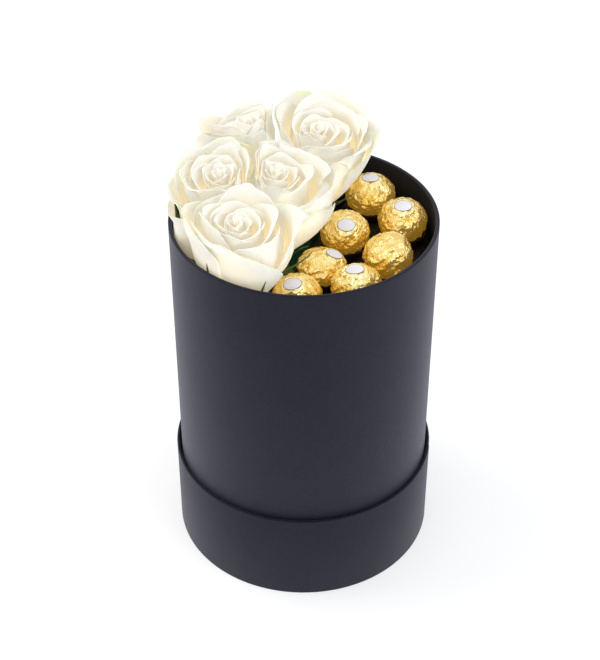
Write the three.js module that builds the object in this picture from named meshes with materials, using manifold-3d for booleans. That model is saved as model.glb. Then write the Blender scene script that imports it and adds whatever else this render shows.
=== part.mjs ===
// A box of roses and chocolates: a tall round card box that stands in its own lid,
// five cut roses in wet foam on one side of a card partition, and seven foil-wrapped
// chocolates in pleated paper cups on a card shelf on the other side.
// Millimetres, +Z up, origin at the centre of the base on the surface it stands on.

import * as THREE from "three";
import { mergeVertices } from "three/addons/utils/BufferGeometryUtils.js";
import Module from "manifold-3d";

const wasm = await Module();
wasm.setup();

// The box and its lid
const BOX_RADIUS = 75;
const BOX_WALL = 2.4;
const RIM_HEIGHT = 220.5;
const LID_RADIUS = 77.8;
const LID_WALL = 2;
const LID_HEIGHT = 60;
const ROUND_SIDES = 60;

// Clear space between two pieces that rest on each other
const GAP = 0.3;

// The card partition stands off the box's axis and is turned about it. Its normal
// points to the chocolates.
const PARTITION_TURN = THREE.MathUtils.degToRad(-23);
const PARTITION_OFFSET = 3.2;
const CARD = 1.5;
const SHELF_TOP = 195;
const LEG_OFFSET = 46;

// The wet foam and its waterproof liner
const LINER_WALL = 0.8;
const LINER_HEIGHT = 168;
const FOAM_HEIGHT = 160;
const STEM_DEPTH = 45;

// The roses. heart is the top of the bud, lean the tilt of the axis in degrees and
// towards the compass direction of that tilt, anticlockwise from +X. cup is the radius
// of the tight inner petals, which turn begins. The outer petals are listed one by one
// from the inside out: the direction of the petal's middle and its half width in
// degrees, the radii of its shell at the belly and at the rim, its height, and the
// degrees that its lip turns out from fold, a share of the height. slope makes one
// side of a lip higher than the other, and tip is the height of its point. girth is
// the radius of the whole bloom, where nothing presses on it, and sepals the direction
// of the first sepal. A rose leans over those that come after it.
const ROSES = [
  {
    name: "rose_front", heart: [-34, -48, 251.5], lean: 6, towards: 235, height: 48,
    cup: 20, girth: 33, turn: 0.4, seed: 3, sepals: 212,
    outer: [
      { at: 75, half: 62, girth: 22.5, top: 21, height: 53, fold: 0.93, curl: 60, tip: 3 },
      { at: 190, half: 66, girth: 22, top: 21, height: 49, fold: 0.93, curl: 50, tip: 0 },
      { at: -62, half: 66, girth: 23, top: 22, height: 46, fold: 0.92, curl: 90, slope: 0.1, tip: 0 },
      { at: 2, half: 46, girth: 24, top: 30, height: 50, fold: 0.9, curl: 90, tip: 4, shoulder: 0.32 },
      { at: 115, half: 60, girth: 29, top: 30, height: 48, fold: 0.9, curl: 90 },
      { at: -118, half: 64, girth: 27, top: 29, height: 46, fold: 0.84, curl: 130, slope: -0.22, tip: 1 },
      { at: 154, half: 58, girth: 38, top: 40, height: 48, fold: 0.92, curl: 80 },
      { at: -82, half: 50, girth: 33, top: 33, height: 35, fold: 0.88, curl: 70 },
      { at: 40, half: 60, girth: 25, top: 28, height: 44, fold: 0.88, curl: 110 },
    ],
  },
  {
    name: "rose_left", heart: [-46, -2, 251.5], lean: 12, towards: 235, height: 47,
    cup: 17, girth: 33, turn: 2.1, seed: 11, sepals: 172,
    outer: [
      { at: 60, half: 66, girth: 19, top: 17, height: 49, fold: 0.93, curl: 60 },
      { at: -60, half: 66, girth: 19, top: 18, height: 46, fold: 0.93, curl: 60 },
      { at: 180, half: 66, girth: 20, top: 20, height: 48, fold: 0.93, curl: 60 },
      { at: 20, half: 60, girth: 26, top: 27, height: 47, fold: 0.9, curl: 90 },
      { at: 150, half: 58, girth: 24, top: 25, height: 46, fold: 0.9, curl: 90 },
      { at: -110, half: 62, girth: 26, top: 26, height: 43, fold: 0.9, curl: 120 },
      { at: 80, half: 60, girth: 28, top: 30, height: 46, fold: 0.88, curl: 120 },
      { at: 200, half: 55, girth: 29, top: 29, height: 42, fold: 0.9, curl: 90 },
      { at: 228, half: 46, girth: 41, top: 42, height: 41, fold: 0.9, curl: 80 },
    ],
  },
  {
    name: "rose_middle", heart: [-15, 0, 252.5], lean: 4, towards: 290, height: 48,
    cup: 18, girth: 33, turn: 4, seed: 21, sepals: 20,
    outer: [
      { at: 110, half: 62, girth: 20, top: 19, height: 50, fold: 0.93, curl: 60 },
      { at: -100, half: 66, girth: 20, top: 19, height: 46, fold: 0.92, curl: 80 },
      { at: 35, half: 46, girth: 23, top: 24, height: 52, fold: 0.9, curl: 80, shoulder: 0.04 },
      { at: 170, half: 62, girth: 25, top: 28, height: 49, fold: 0.9, curl: 90 },
      { at: -60, half: 62, girth: 24, top: 26, height: 46, fold: 0.82, curl: 120, slope: 0.14, tip: 2 },
      { at: 100, half: 60, girth: 28, top: 30, height: 51, fold: 0.9, curl: 90 },
      { at: -20, half: 52, girth: 30, top: 33, height: 50, fold: 0.92, curl: 80 },
      { at: -75, half: 60, girth: 33, top: 34, height: 41, fold: 0.85, curl: 130, slope: 0.08 },
      { at: 200, half: 60, girth: 33, top: 33, height: 42, fold: 0.88, curl: 120 },
    ],
  },
  {
    name: "rose_back_right", heart: [8.5, 33, 258.5], lean: 9, towards: 280, height: 48,
    cup: 20, girth: 33, turn: 5.3, seed: 42, sepals: 322,
    outer: [
      { at: 95, half: 66, girth: 22, top: 21, height: 50, fold: 0.93, curl: 60 },
      { at: -80, half: 66, girth: 21, top: 20, height: 47, fold: 0.93, curl: 60 },
      { at: 10, half: 62, girth: 23, top: 23, height: 49, fold: 0.92, curl: 80 },
      { at: 170, half: 60, girth: 29, top: 31, height: 48, fold: 0.9, curl: 90 },
      { at: -30, half: 62, girth: 25, top: 27, height: 47, fold: 0.9, curl: 100 },
      { at: 60, half: 60, girth: 27, top: 31, height: 49, fold: 0.9, curl: 80, tip: 2 },
      { at: -100, half: 60, girth: 27, top: 27, height: 42, fold: 0.9, curl: 90 },
      { at: 0, half: 60, girth: 28, top: 29, height: 45, fold: 0.9, curl: 90 },
      { at: 130, half: 60, girth: 33, top: 34, height: 46, fold: 0.88, curl: 120 },
    ],
  },
  {
    name: "rose_back_left", heart: [-35, 44, 257.5], lean: 8, towards: 120, height: 48,
    cup: 17, girth: 28, turn: 1.2, seed: 35, sepals: 100,
    outer: [
      { at: 90, half: 66, girth: 19, top: 18, height: 49, fold: 0.93, curl: 60 },
      { at: -40, half: 66, girth: 19, top: 18, height: 46, fold: 0.93, curl: 60 },
      { at: -130, half: 66, girth: 20, top: 20, height: 45, fold: 0.9, curl: 100 },
      { at: 170, half: 60, girth: 25, top: 27, height: 49, fold: 0.9, curl: 80 },
      { at: 40, half: 62, girth: 24, top: 25, height: 48, fold: 0.9, curl: 90 },
      { at: -70, half: 62, girth: 25, top: 25, height: 44, fold: 0.86, curl: 100 },
      { at: 110, half: 62, girth: 27, top: 29, height: 44, fold: 0.88, curl: 120 },
      { at: 230, half: 58, girth: 28, top: 29, height: 42, fold: 0.9, curl: 90 },
    ],
  },
];
const INNER_PETALS = 15;
// of the inner petals, the ones that are modelled
const INNER_SHOWN = [3, 7, 11];
const PETAL_THICKNESS = 0.7;
const GOLDEN_ANGLE = THREE.MathUtils.degToRad(137.508);
const STEM_RADIUS = 2.6;
const SEPALS = 5;

// The chocolates: where each stands on the shelf, its radius, how tall it is for
// its width, and which way its label faces.
const CHOCOLATES = [
  { name: "a", at: [38.4, 40.1], radius: 15, tall: 0.8, label: [-0.02, -0.07, 1] },
  { name: "b", at: [55.5, 12], radius: 14.4, tall: 0.9, label: [-0.03, -0.28, 0.96] },
  { name: "c", at: [22.9, 0.8], radius: 14.2, tall: 0.88, label: [0.03, -0.56, 0.83] },
  { name: "d", at: [45.9, -22.5], radius: 14.1, tall: 0.92, label: [0.45, 0.75, 0.48] },
  { name: "e", at: [9.9, -27.2], radius: 14, tall: 0.66, label: [0.48, 0.03, 0.88] },
  { name: "f", at: [28.1, -49.6], radius: 14.4, tall: 0.85, label: [-0.09, -0.07, 0.99] },
  { name: "g", at: [-3.2, -54.7], radius: 13.6, tall: 0.8, label: [-0.2, -0.32, 0.93] },
];
const CUP_WALL = 0.6;
const CUP_HEIGHT = 8.5;
const CUP_PLEATS = 10;
const PLEAT_DEPTH = 0.8;
// how much narrower than the chocolate a cup is at its foot and at its brim
const CUP_FOOT = 4.2;
const CUP_BRIM = 0.4;
const LABEL_SIZE = [5.3, 4.1];
const LABEL_THICKNESS = 0.6;
const LABEL_GAP = 0.45;
const LABEL_SIDES = 10;

// Finishes
const material = (color, roughness, metalness = 0) =>
  new THREE.MeshStandardMaterial({ color, roughness, metalness });
const FINISH = {
  navyPaper: material(0x3a3d4c, 0.75),
  card: material(0x2b211b, 0.9),
  liner: material(0xc9ced0, 0.3),
  foam: material(0x2f6b3c, 0.95),
  petal: material(0xf2ecd6, 0.55),
  green: material(0x4f7236, 0.6),
  foil: material(0xd9a23c, 0.28, 1),
  cup: material(0x3a2016, 0.8),
  label: material(0xf3f0ee, 0.5),
};

const part = new THREE.Group();

function addPiece(name, geometry, finish) {
  const mesh = new THREE.Mesh(geometry, finish);
  mesh.name = name;
  part.add(mesh);
  return mesh;
}

// A repeatable random number from 0 to 1 for a seed and an index.
function scatter(seed, index) {
  const x = Math.sin(seed * 12.9898 + index * 78.233) * 43758.5453;
  return x - Math.floor(x);
}

// Solids: from a geometry to a manifold and back.
function toSolid(geometry) {
  const bare = geometry.clone();
  bare.deleteAttribute("normal");
  bare.deleteAttribute("uv");
  const merged = mergeVertices(bare, 1e-4);
  return new wasm.Manifold(new wasm.Mesh({
    numProp: 3,
    vertProperties: new Float32Array(merged.attributes.position.array),
    triVerts: new Uint32Array(merged.index.array),
  }));
}

function toGeometry(solid) {
  const mesh = solid.getMesh();
  const geometry = new THREE.BufferGeometry();
  const positions = new Float32Array(mesh.vertProperties);
  geometry.setAttribute("position", new THREE.BufferAttribute(positions, 3));
  geometry.setIndex(new THREE.BufferAttribute(new Uint32Array(mesh.triVerts), 1));
  geometry.computeVertexNormals();
  return geometry;
}

// Fuses overlapping solids into one body. A hollow that fusing seals is filled, and
// a loose scrap is dropped.
function fuse(solids) {
  const joined = solids.reduce((sum, solid) => sum.add(solid));
  return joined.decompose().reduce((best, piece) => (piece.volume() > best.volume() ? piece : best));
}

// A closed solid from a grid of points: two faces of the same grid, joined round
// their edge. rows and columns count the cells.
function blade(front, back, rows, columns) {
  const points = [...front, ...back].flatMap((point) => point.toArray());
  const stride = columns + 1;
  const offset = front.length;
  const index = [];
  for (let i = 0; i < rows; i++) {
    for (let j = 0; j < columns; j++) {
      const a = i * stride + j;
      const b = a + 1;
      const c = b + stride;
      const d = a + stride;
      index.push(a, b, c, a, c, d);
      index.push(offset + a, offset + c, offset + b, offset + a, offset + d, offset + c);
    }
  }
  const border = [];
  for (let j = 0; j < columns; j++) border.push(j);
  for (let i = 0; i < rows; i++) border.push(i * stride + columns);
  for (let j = columns; j > 0; j--) border.push(rows * stride + j);
  for (let i = rows; i > 0; i--) border.push(i * stride);
  border.forEach((a, k) => {
    const b = border[(k + 1) % border.length];
    index.push(b, a, offset + a, b, offset + a, offset + b);
  });
  const geometry = new THREE.BufferGeometry();
  geometry.setAttribute("position", new THREE.BufferAttribute(new Float32Array(points), 3));
  geometry.setIndex(index);
  return geometry;
}

// The two faces of a sheet, half its thickness to each side of a grid of points.
function sheet(grid, rows, columns, thickness) {
  const stride = columns + 1;
  const at = (i, j) => grid[Math.min(Math.max(i, 0), rows) * stride + Math.min(Math.max(j, 0), columns)];
  const front = [];
  const back = [];
  for (let i = 0; i <= rows; i++) {
    for (let j = 0; j <= columns; j++) {
      const across = at(i, j + 1).clone().sub(at(i, j - 1));
      const along = at(i + 1, j).clone().sub(at(i - 1, j));
      const normal = across.cross(along).normalize().multiplyScalar(thickness / 2);
      front.push(at(i, j).clone().add(normal));
      back.push(at(i, j).clone().sub(normal));
    }
  }
  return toSolid(blade(front, back, rows, columns));
}

// The round box and its lid

function roundBox(radius, wall, floor, bottom, top) {
  const profile = [
    [0, bottom],
    [radius, bottom],
    [radius, top],
    [radius - wall, top],
    [radius - wall, bottom + floor],
    [0, bottom + floor],
  ].map(([r, z]) => new THREE.Vector2(r, z));
  return new THREE.LatheGeometry(profile, ROUND_SIDES).rotateX(Math.PI / 2);
}

const BOX_BOTTOM = LID_WALL + GAP;
const BOX_FLOOR = BOX_BOTTOM + BOX_WALL;
const boxBody = roundBox(BOX_RADIUS, BOX_WALL, BOX_WALL, BOX_BOTTOM, RIM_HEIGHT);
addPiece("box_lid", roundBox(LID_RADIUS, LID_WALL, LID_WALL, 0, LID_HEIGHT), FINISH.navyPaper);
addPiece("box_body", boxBody, FINISH.navyPaper);

// The card partition, shelf and leg, and the foam and its liner, are cut from the
// round inside of the box by straight lines parallel to the partition.

const INSIDE_RADIUS = BOX_RADIUS - BOX_WALL - 2 * GAP;

function slice(radius, from, to) {
  const points = [];
  const arc = (start, end, steps) => {
    for (let k = 0; k <= steps; k++) {
      const angle = start + ((end - start) * k) / steps;
      points.push([radius * Math.cos(angle), radius * Math.sin(angle)]);
    }
  };
  const near = from <= -radius ? Math.PI : Math.acos(from / radius);
  const far = to >= radius ? 0 : Math.acos(to / radius);
  const steps = Math.ceil(((near - far) * ROUND_SIDES) / (2 * Math.PI));
  arc(-near, -far, steps);
  arc(far, near, steps);
  const shape = new THREE.Shape();
  const cos = Math.cos(PARTITION_TURN);
  const sin = Math.sin(PARTITION_TURN);
  points.forEach(([x, y], k) => {
    const turned = [x * cos - y * sin, x * sin + y * cos];
    if (k === 0) shape.moveTo(...turned);
    else shape.lineTo(...turned);
  });
  return shape;
}

function slab(shape, bottom, top) {
  const settings = { depth: top - bottom, bevelEnabled: false };
  return new THREE.ExtrudeGeometry(shape, settings).translate(0, 0, bottom);
}

const SEAT = BOX_FLOOR + GAP;
const partitionFrom = PARTITION_OFFSET - CARD / 2;
const partitionTo = PARTITION_OFFSET + CARD / 2;
addPiece("card_partition",
  slab(slice(INSIDE_RADIUS, partitionFrom, partitionTo), SEAT, SHELF_TOP), FINISH.card);
addPiece("card_shelf",
  slab(slice(INSIDE_RADIUS, partitionTo + GAP, INSIDE_RADIUS), SHELF_TOP - CARD, SHELF_TOP), FINISH.card);
addPiece("card_leg",
  slab(slice(INSIDE_RADIUS, LEG_OFFSET, LEG_OFFSET + CARD), SEAT, SHELF_TOP - CARD - GAP), FINISH.card);

const linerTo = partitionFrom - GAP;
const linerOutside = toSolid(slab(slice(INSIDE_RADIUS, -INSIDE_RADIUS, linerTo), SEAT, SEAT + LINER_HEIGHT));
const linerInside = toSolid(slab(slice(INSIDE_RADIUS - LINER_WALL, -INSIDE_RADIUS, linerTo - LINER_WALL),
  SEAT + LINER_WALL, SEAT + LINER_HEIGHT + 1));
addPiece("foam_liner", toGeometry(linerOutside.subtract(linerInside)), FINISH.liner);

// Roses. A rose is worked out upright, with its base at the origin, and then moved
// into place. Every petal lies on a shell of revolution of its own, and the shells
// nest, so that petals lie in layers.

const CURL_REACH = 5;

function placeRose(rose) {
  const lean = THREE.MathUtils.degToRad(rose.lean);
  const towards = THREE.MathUtils.degToRad(rose.towards);
  rose.axis = new THREE.Vector3(
    Math.sin(lean) * Math.cos(towards), Math.sin(lean) * Math.sin(towards), Math.cos(lean));
  rose.base = new THREE.Vector3(...rose.heart).addScaledVector(rose.axis, -rose.height);
  rose.turned = new THREE.Quaternion().setFromUnitVectors(new THREE.Vector3(0, 0, 1), rose.axis);
  // the point of the axis at a height
  rose.centre = (z) => rose.base.clone().addScaledVector(rose.axis, (z - rose.base.z) / rose.axis.z);
  rose.reach = rose.girth + CURL_REACH;
}
ROSES.forEach(placeRose);

// Neighbouring blooms press on each other. What would reach past a wall is drawn
// in towards the bloom's own axis, more the further out it is.
const FREE_SHARE = 0.4;
const EASED_SHARE = 0.5;
const WALL_MARGIN = 0.7;

// Higher up, the wall between two blooms leans over the one that comes later.
const WALL_TILT = 0.24;
const TILT_FROM = 238;

// Up to free nothing moves, and what lies at reach or further comes to the limit.
function drawIn(distance, limit, free, reach) {
  if (distance <= free || reach <= limit) return distance;
  const past = distance - free;
  const straight = (limit - free) / (reach - free);
  const eased = 1 / (1 + past * (1 / (limit - free) - 1 / (reach - free)));
  return Math.min(limit, free + past * (EASED_SHARE * eased + (1 - EASED_SHARE) * straight));
}

// The chocolates' side is a wall that leans out over them.
const OVERHANG = 0.62;
const OVERHANG_FROM = { offset: PARTITION_OFFSET + 1, z: 199 };
const NARROWEST = 9;

// Inside the box petals keep to its wall; above the rim they may spread a little. What
// lies further in than this from the wall stays as it is.
const WALL_DEPTH = 14;
const RIM_SPREAD = 5;
const SPREAD_FROM = RIM_HEIGHT + 4;
const SPREAD_FULL = RIM_HEIGHT + 20;

// A petal that meets a chocolate bends round it: the ball pushes what is near its
// middle out to its surface, and hardly moves what is further away.
const PRESS = 6;
const PRESS_MARGIN = 1.2;
const middleOf = (radius, tall) => SHELF_TOP + GAP + CUP_WALL + GAP + radius * tall;

function settle(point, rose) {
  const p = point.clone().applyQuaternion(rose.turned).add(rose.base);
  const centre = rose.centre(p.z);
  const pull = (direction, limit) => {
    const distance = p.clone().sub(centre).dot(direction);
    p.addScaledVector(direction, drawIn(distance, limit, FREE_SHARE * limit, rose.reach) - distance);
  };
  for (const other of ROSES) {
    if (other === rose) continue;
    const between = other.centre(p.z).sub(centre).setZ(0);
    const apart = between.length();
    const limit = apart * rose.girth / (rose.girth + other.girth) - WALL_MARGIN;
    const over = ROSES.indexOf(rose) < ROSES.indexOf(other) ? 1 : -1;
    pull(between.normalize(), limit + over * WALL_TILT * (p.z - TILT_FROM));
  }
  const across = new THREE.Vector3(Math.cos(PARTITION_TURN), Math.sin(PARTITION_TURN), 0);
  const edge = OVERHANG_FROM.offset + OVERHANG * (p.z - OVERHANG_FROM.z);
  pull(across, Math.max(NARROWEST, edge - across.dot(centre) - WALL_MARGIN));

  const out = Math.hypot(p.x, p.y);
  const spread = RIM_SPREAD * THREE.MathUtils.smoothstep(p.z, SPREAD_FROM, SPREAD_FULL);
  const middle = Math.hypot(centre.x, centre.y);
  const wall = INSIDE_RADIUS - WALL_MARGIN + spread;
  const free = Math.max(middle + 2 * STEM_RADIUS, wall - WALL_DEPTH);
  const scale = drawIn(out, wall, free, middle + rose.reach) / out;
  p.x *= scale;
  p.y *= scale;
  for (const { at, radius, tall } of CHOCOLATES) {
    const ball = new THREE.Vector3(...at, middleOf(radius, tall));
    const from = p.clone().sub(ball);
    from.z /= tall;
    const distance = from.length();
    const clear = radius + PRESS_MARGIN;
    from.setLength((distance ** PRESS + clear ** PRESS) ** (1 / PRESS));
    from.z *= tall;
    if (distance < 2 * clear) p.copy(ball).add(from);
  }
  return p;
}

// The outline of a shell, from its root to its top, as a cubic curve in radius and
// height.
function shellPoint({ girth, height, top, root, rise }, v) {
  const curve = new THREE.CubicBezierCurve(
    new THREE.Vector2(root, rise),
    new THREE.Vector2(1.3 * girth, rise + 0.03 * height),
    new THREE.Vector2(1.04 * girth, 0.62 * height),
    new THREE.Vector2(top, height));
  return curve.getPoint(v);
}

// The inner petals wrap the heart in a spiral, each turned on from the last by the
// golden angle.
function innerPetal(rose, k) {
  const t = k / (INNER_PETALS - 1);
  const jitter = (index) => 2 * scatter(rose.seed + k, index) - 1;
  const girth = 1.5 + (rose.cup - 1.5) * t ** 1.3;
  return {
    index: k,
    at: THREE.MathUtils.radToDeg(rose.turn + k * GOLDEN_ANGLE) + 20 * jitter(1),
    half: 108 - 42 * t,
    girth,
    top: girth * (0.6 + 0.34 * t),
    height: rose.height * (0.985 + 0.015 * t) + 2.4 * t * jitter(2) - 1.6 * Math.sin(Math.PI * t),
    fold: 0.965 - 0.055 * t,
    curl: 40 + 60 * t,
    lip: 1 + 1.8 * t,
    shoulder: 0.12,
    spiral: -0.4 - 0.8 * t,
    rise: 16 - 7.5 * t,
    slope: 0,
    tip: 1.2,
  };
}

function outerPetal(rose, petal, k) {
  const t = k / (rose.outer.length - 1);
  return {
    index: 100 + k,
    lip: 3.1 + t,
    shoulder: 0.24,
    spiral: -1.5,
    rise: 8 - 7.5 * t,
    slope: 0,
    tip: 1,
    ...petal,
  };
}

// The root of each petal, its waves, and where they begin.
function finishPetal(rose, petal) {
  const big = Math.min(1, petal.girth / 26);
  return {
    ...petal,
    root: 1 + 4.5 * Math.min(1, petal.girth / 30),
    wave: [0.2 + 0.55 * big, 0.15 + 0.4 * big, 0.3 + 1.2 * big],
    phase: [5, 6, 7].map((index) => 2 * Math.PI * scatter(3 * rose.seed + petal.index, index)),
  };
}

// A point of a petal: u runs from one side to the other, from -1 to 1, and v from
// the root to the lip, from 0 to 1. The lip turns out on a round fold.
const TIP_WIDTH = 0.16;

function petalPoint(petal, u, v) {
  const top = 1 - petal.shoulder * Math.abs(u) ** 2.4 + petal.slope * u +
    (petal.tip / petal.height) * Math.exp(-((u / TIP_WIDTH) ** 2));
  const fold = petal.fold + 0.7 * petal.slope * u - 0.1 * u * u;
  const height = v * top;
  const foot = shellPoint(petal, Math.min(height, fold));
  const along = foot.clone().sub(shellPoint(petal, Math.min(height, fold) - 0.001));
  const speed = along.length() / 0.001;
  along.normalize();
  const past = Math.max(height - fold, 0) * speed;
  const limit = THREE.MathUtils.degToRad(petal.curl) * (0.75 + 0.25 * Math.abs(u));
  const bend = Math.min(past / petal.lip, limit);
  const beyond = Math.max(past - petal.lip * limit, 0);
  const forward = petal.lip * Math.sin(bend) + Math.cos(bend) * beyond;
  const outward = petal.lip * (1 - Math.cos(bend)) + Math.sin(bend) * beyond;
  const radius = foot.x + along.x * forward + along.y * outward + petal.spiral * u * Math.min(1, 2 * v) +
    petal.wave[0] * v ** 2 * Math.sin(2.3 * u + petal.phase[0]) +
    petal.wave[1] * v ** 3 * Math.sin(5.5 * u + petal.phase[1]);
  const z = foot.y + along.y * forward - along.x * outward +
    petal.wave[2] * v ** 3 * Math.sin(3.1 * u + petal.phase[2]);
  const widen = 0.7 + 0.3 * Math.sin(Math.PI / 2 * Math.min(1, v / 0.5));
  const azimuth = THREE.MathUtils.degToRad(petal.at + petal.half * widen * u);
  return new THREE.Vector3(radius * Math.cos(azimuth), radius * Math.sin(azimuth), z);
}

// Rows crowd towards the rim, where a petal curls.
const INNER_GRID = { columns: 4, places: [0, 0.5, 1] };
const OUTER_GRID = { columns: 4, places: [0, 0.5, 0.9, 1] };

function petalSolid(rose, petal, { columns, places }) {
  const whole = finishPetal(rose, petal);
  const grid = [];
  for (const v of places) {
    for (let j = 0; j <= columns; j++) grid.push(settle(petalPoint(whole, -1 + (2 * j) / columns, v), rose));
  }
  return sheet(grid, places.length - 1, columns, PETAL_THICKNESS);
}

// The receptacle that the petals grow from, as a core in the bloom: radius and height.
const CORE = [[0, 0.2], [7, 0.2], [8, 5], [0, 20]];
const CORE_SIDES = 6;

function bloomCore(rose) {
  const lathe = new THREE.LatheGeometry(CORE.map(([r, z]) => new THREE.Vector2(r, z)), CORE_SIDES);
  lathe.rotateX(Math.PI / 2);
  lathe.applyQuaternion(rose.turned).translate(...rose.base.toArray());
  return toSolid(lathe);
}

// The calyx under the bloom, the stem down into the foam, and five sepals that lie
// up along the outer petals.
const FOAM_BOTTOM = SEAT + LINER_WALL + GAP;
const FOAM_TOP = FOAM_BOTTOM + FOAM_HEIGHT;
// the calyx: radius and height, from its foot on the stem to its top
const CALYX_FOOT = -12;
const CALYX = [[4.8, -8], [5, -4], [6.2, -GAP]];
const STEM_SIDES = 6;

function stemEnd(rose) {
  return -(rose.base.z - (FOAM_TOP - STEM_DEPTH)) / rose.axis.z;
}

function stemSolid(rose, radius, end, top) {
  const profile = [[0, end], [radius, end], [radius, CALYX_FOOT], ...top];
  profile.push([0, profile[profile.length - 1][1]]);
  const lathe = new THREE.LatheGeometry(profile.map(([r, z]) => new THREE.Vector2(r, z)), STEM_SIDES);
  lathe.rotateX(Math.PI / 2);
  lathe.applyQuaternion(rose.turned).translate(...rose.base.toArray());
  return toSolid(lathe);
}

const SEPAL_CLEAR = 3;
const SEPAL_ROWS = 2;
const SEPAL_HALF_WIDTH = 2.6;
const SEPAL_STEP = 0.04;

function sepalSolid(rose, azimuth, reach) {
  const shell = {
    girth: rose.girth + SEPAL_CLEAR,
    height: rose.height * 0.9,
    top: rose.girth + 8,
    root: 4,
    rise: -2.4,
  };
  const grid = [];
  for (let i = 0; i <= SEPAL_ROWS; i++) {
    const v = i / SEPAL_ROWS;
    const { x, y } = shellPoint(shell, v * reach);
    const half = SEPAL_HALF_WIDTH * (1 - 0.8 * v);
    for (const side of [-1, 1]) {
      const turn = azimuth + side * half / Math.max(x, 4);
      grid.push(settle(new THREE.Vector3(x * Math.cos(turn), x * Math.sin(turn), y), rose));
    }
  }
  return sheet(grid, SEPAL_ROWS, 1, PETAL_THICKNESS);
}

// A sepal reaches up beside the bloom until a petal, the box or a chocolate is in its way.
function freeSepal(rose, k, obstacles) {
  const azimuth = THREE.MathUtils.degToRad(rose.sepals) + k * 2 * Math.PI / SEPALS;
  let reach = 0.62 + 0.12 * scatter(rose.seed, k);
  let sepal = sepalSolid(rose, azimuth, reach);
  while (obstacles.some((obstacle) => sepal.minGap(obstacle, 1) < GAP / 2)) {
    reach -= SEPAL_STEP;
    sepal = sepalSolid(rose, azimuth, reach);
  }
  return sepal;
}

// One leaf grows from a stem, under the bloom and over the partition, and shows
// between the front rose and the chocolates. Its edge is toothed.
const LEAF = {
  on: "rose_middle",
  line: [[-17.6, 6, 189], [-15, -8, 197], [-11, -24, 198.5], [-6.2, -37, 206.5]],
  halfWidth: 4.8,
  stalk: 0.3,
  rows: 7,
  tooth: 0.16,
  fold: 0.9,
};

function leafSolid({ line, halfWidth, stalk, rows, tooth, fold }) {
  const curve = new THREE.CubicBezierCurve3(...line.map((point) => new THREE.Vector3(...point)));
  const up = new THREE.Vector3(0, 0, 1);
  const grid = [];
  for (let i = 0; i <= rows; i++) {
    const t = i / rows;
    const across = curve.getTangent(t).cross(up).normalize();
    const round = Math.sin(Math.PI * THREE.MathUtils.clamp((t - stalk) / (1 - stalk), 0, 1)) ** 0.8;
    const half = Math.max(PETAL_THICKNESS, halfWidth * round * (i % 2 ? 1 : 1 - tooth));
    for (const side of [-1, 0, 1]) {
      const raised = curve.getPoint(t).z + fold * side * side;
      grid.push(curve.getPoint(t).addScaledVector(across, side * half).setZ(raised));
    }
  }
  return sheet(grid, rows, 2, PETAL_THICKNESS);
}

const boxSolid = toSolid(boxBody);
const foam = slab(slice(INSIDE_RADIUS - LINER_WALL - GAP, -INSIDE_RADIUS, linerTo - LINER_WALL - GAP),
  FOAM_BOTTOM, FOAM_TOP);
let foamSolid = toSolid(foam);
const spaces = CHOCOLATES.map(({ at, radius, tall }) =>
  toSolid(new THREE.IcosahedronGeometry(radius + 2 * GAP, 3).scale(1, 1, tall).translate(
    ...at, middleOf(radius, tall))));
for (const rose of ROSES) {
  const petals = [
    ...INNER_SHOWN.map((k) => petalSolid(rose, innerPetal(rose, k), INNER_GRID)),
    ...rose.outer.map((petal, k) => petalSolid(rose, outerPetal(rose, petal, k), OUTER_GRID)),
  ];
  const bloom = fuse([bloomCore(rose), ...petals]);
  const clear = spaces.reduce((rest, space) => rest.subtract(space), bloom);
  addPiece(`${rose.name}_bloom`, toGeometry(fuse([clear])), FINISH.petal);
  const end = stemEnd(rose);
  const sepals = Array.from({ length: SEPALS }, (_, k) => freeSepal(rose, k, [clear, boxSolid, ...spaces]));
  const leaves = rose.name === LEAF.on ? [leafSolid(LEAF)] : [];
  const stem = fuse([stemSolid(rose, STEM_RADIUS, end, CALYX), ...sepals, ...leaves]);
  addPiece(`${rose.name}_stem`, toGeometry(stem), FINISH.green);
  foamSolid = foamSolid.subtract(stemSolid(rose, STEM_RADIUS + GAP, end - GAP, []));
}
addPiece("floral_foam", toGeometry(foamSolid), FINISH.foam);

// Chocolates: a pleated paper cup, a ball in crinkled foil, and an oval label.

function pleatedCup(radius) {
  const around = 2 * CUP_PLEATS;
  const ring = (r, z, pleat) => Array.from({ length: around }, (_, k) => {
    const angle = (2 * Math.PI * k) / around;
    const out = r + (k % 2 ? -pleat : 0);
    return new THREE.Vector3(out * Math.cos(angle), out * Math.sin(angle), z);
  });
  const rings = [
    ring(radius - CUP_FOOT, 0, 0),
    ring(radius - CUP_BRIM, CUP_HEIGHT, PLEAT_DEPTH),
    ring(radius - CUP_BRIM - CUP_WALL, CUP_HEIGHT, PLEAT_DEPTH),
    ring(radius - CUP_FOOT - CUP_WALL, CUP_WALL, 0),
  ];
  return closedRings(rings, new THREE.Vector3(0, 0, 0), new THREE.Vector3(0, 0, CUP_WALL));
}

// A closed solid from rings of equally many points, with a point at each end.
function closedRings(rings, first, last) {
  const around = rings[0].length;
  const points = [first, ...rings.flat(), last];
  const index = [];
  for (let k = 0; k < around; k++) {
    const next = (k + 1) % around;
    index.push(0, 1 + next, 1 + k);
    for (let r = 0; r + 1 < rings.length; r++) {
      const a = 1 + r * around + k;
      const b = 1 + r * around + next;
      index.push(a, b, b + around, a, b + around, a + around);
    }
    const lastRing = 1 + (rings.length - 1) * around;
    index.push(lastRing + k, lastRing + next, points.length - 1);
  }
  const geometry = new THREE.BufferGeometry();
  geometry.setAttribute("position",
    new THREE.BufferAttribute(new Float32Array(points.flatMap((point) => point.toArray())), 3));
  geometry.setIndex(index);
  return geometry;
}

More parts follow.
